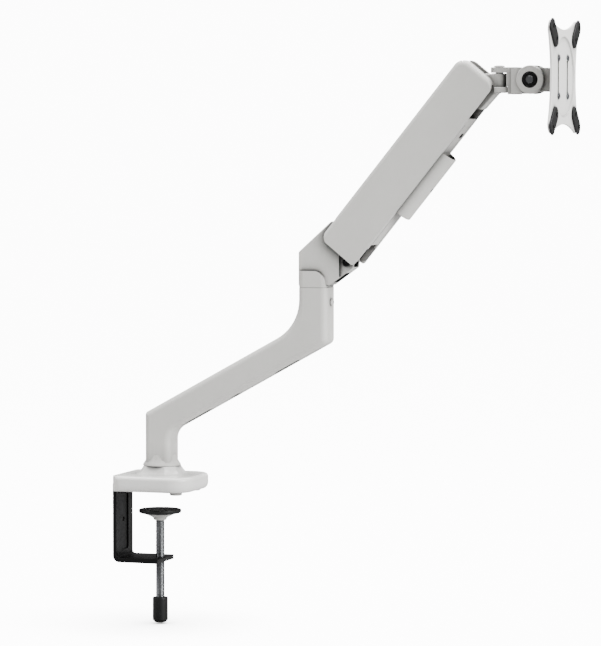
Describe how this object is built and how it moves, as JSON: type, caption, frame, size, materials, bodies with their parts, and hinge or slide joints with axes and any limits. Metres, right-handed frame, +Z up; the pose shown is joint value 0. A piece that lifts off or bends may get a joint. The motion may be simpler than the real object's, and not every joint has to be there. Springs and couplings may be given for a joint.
{
  "type": "monitor arm",
  "caption": "Desk-clamp monitor arm with a fixed-pitch lower arm, a gas-spring upper arm with its cover and cable clip, and a turning monitor plate.",
  "frame": {"origin": "on the desk top, on the lower column's turning axis", "axes": "+Z up, +X from the clamp towards the monitor"},
  "size_m": [0.4849, 0.1162, 0.6288],
  "materials": {
    "white_cast": "satin",
    "grey_cast": "satin",
    "grey_plastic": "matte",
    "head_cast": "satin",
    "black_steel": "matte",
    "black_plastic": "matte",
    "rubber": "matte",
    "grey_rubber": "matte",
    "steel": "satin",
    "nylon": "matte"
  },
  "bodies": {
    "base": {"base_casting": "white_cast", "centre_pad": "rubber", "front_foot_near": "grey_rubber", "front_foot_far": "grey_rubber", "rear_pad": "rubber", "pivot_post": "steel", "base_washer": "nylon", "clamp_bracket": "black_steel", "bracket_screw_near": "black_steel", "bracket_screw_far": "black_steel"},
    "clamp_pressure_pad": {"clamp_pad": "black_plastic", "clamp_pad_hub": "grey_plastic"},
    "clamp_spindle": {"clamp_screw": "steel", "clamp_grip": "black_plastic"},
    "lower_arm": {"lower_arm_casting": "grey_cast", "lower_bush": "nylon", "elbow_bush": "nylon", "lower_cable_cover": "grey_plastic", "base_tension_screw": "black_steel", "elbow_tension_screw": "black_steel"},
    "elbow": {"elbow_bracket": "grey_cast", "elbow_shaft": "steel", "elbow_washer": "nylon", "elbow_main_pin_near": "steel", "elbow_main_pin_far": "steel", "spring_pin": "steel", "elbow_link_screw_near": "steel", "elbow_link_screw_far": "steel"},
    "upper_arm": {"upper_arm_cover": "grey_cast", "upper_arm_frame": "black_steel", "bottom_cover": "grey_plastic", "cable_clip": "grey_plastic", "clip_screw": "steel", "underside_screw": "steel", "gas_spring_cylinder": "black_steel", "spring_carriage": "steel", "spring_adjuster_bolt": "steel"},
    "gas_rod": {"gas_spring_rod": "steel"},
    "links": {"lower_link_near": "black_steel", "lower_link_far": "black_steel"},
    "head": {"head_bracket": "head_cast", "head_main_pin": "steel", "head_link_pin": "steel"},
    "swivel": {"swivel_yoke": "head_cast", "swivel_bolt": "head_cast"},
    "tilt": {"tilt_knuckle": "head_cast", "tilt_bolt": "steel", "tilt_nut_near": "black_steel", "tilt_nut_far": "black_steel"},
    "plate": {"vesa_plate": "white_cast", "plate_hub": "head_cast", "plate_shaft": "steel", "plate_screw_near_low": "steel", "plate_screw_near_high": "steel", "plate_screw_far_low": "steel", "plate_screw_far_high": "steel", "plate_pad_near_low": "rubber", "plate_pad_near_high": "rubber", "plate_pad_far_low": "rubber", "plate_pad_far_high": "rubber"}
  },
  "joints": [
    {"name": "base_swivel", "type": "hinge", "parent": "base", "child": "lower_arm", "pos_m": [0, 0, 0.0287], "axis": [0, 0, 1], "range_deg": [-180, 180]},
    {"name": "elbow_swivel", "type": "hinge", "parent": "lower_arm", "child": "elbow", "pos_m": [0.1714, 0, 0.2185], "axis": [0, 0, 1], "range_deg": [-180, 180]},
    {"name": "upper_arm_lift", "type": "hinge", "parent": "elbow", "child": "upper_arm", "pos_m": [0.203, 0, 0.262], "axis": [0, -1, 0], "range_deg": [-80, 5]},
    {"name": "link_swing", "type": "hinge", "parent": "elbow", "child": "links", "pos_m": [0.20766, 0, 0.24461], "axis": [0, -1, 0], "range_deg": [-81, 6]},
    {"name": "head_levelling", "type": "hinge", "parent": "upper_arm", "child": "head", "pos_m": [0.33516, 0, 0.4252], "axis": [0, -1, 0], "range_deg": [-6, 81]},
    {"name": "gas_rod_slide", "type": "slide", "parent": "upper_arm", "child": "gas_rod", "axis": [0.6293, 0, 0.7771], "range_m": [-0.0012, 0.0152]},
    {"name": "head_swivel", "type": "hinge", "parent": "head", "child": "swivel", "pos_m": [0.3662, 0, 0.4373], "axis": [0, 0, 1], "range_deg": [-50, 50]},
    {"name": "plate_tilt", "type": "hinge", "parent": "swivel", "child": "tilt", "pos_m": [0.4017, 0, 0.4308], "axis": [0, -1, 0], "range_deg": [-45, 45]},
    {"name": "plate_rotation", "type": "hinge", "parent": "tilt", "child": "plate", "pos_m": [0.4312, 0, 0.4333], "axis": [1, 0, 0], "range_deg": [-90, 90]},
    {"name": "clamp_travel", "type": "slide", "parent": "base", "child": "clamp_pressure_pad", "axis": [0, 0, 1], "range_m": [-0.038, 0.01]},
    {"name": "clamp_screw_turn", "type": "hinge", "parent": "clamp_pressure_pad", "child": "clamp_spindle", "pos_m": [-0.0022, 0, -0.018], "axis": [0, 0, 1], "range_deg": [-9200, 2450]}
  ],
  "couplings": [
    {"joint": "link_swing", "follows": "upper_arm_lift", "ratio": 1},
    {"joint": "head_levelling", "follows": "upper_arm_lift", "ratio": -1},
    {"joint": "gas_rod_slide", "follows": "upper_arm_lift", "m_per_rad": -0.01063},
    {"joint": "clamp_screw_turn", "follows": "clamp_travel", "rad_per_m": 4188.8}
  ]
}
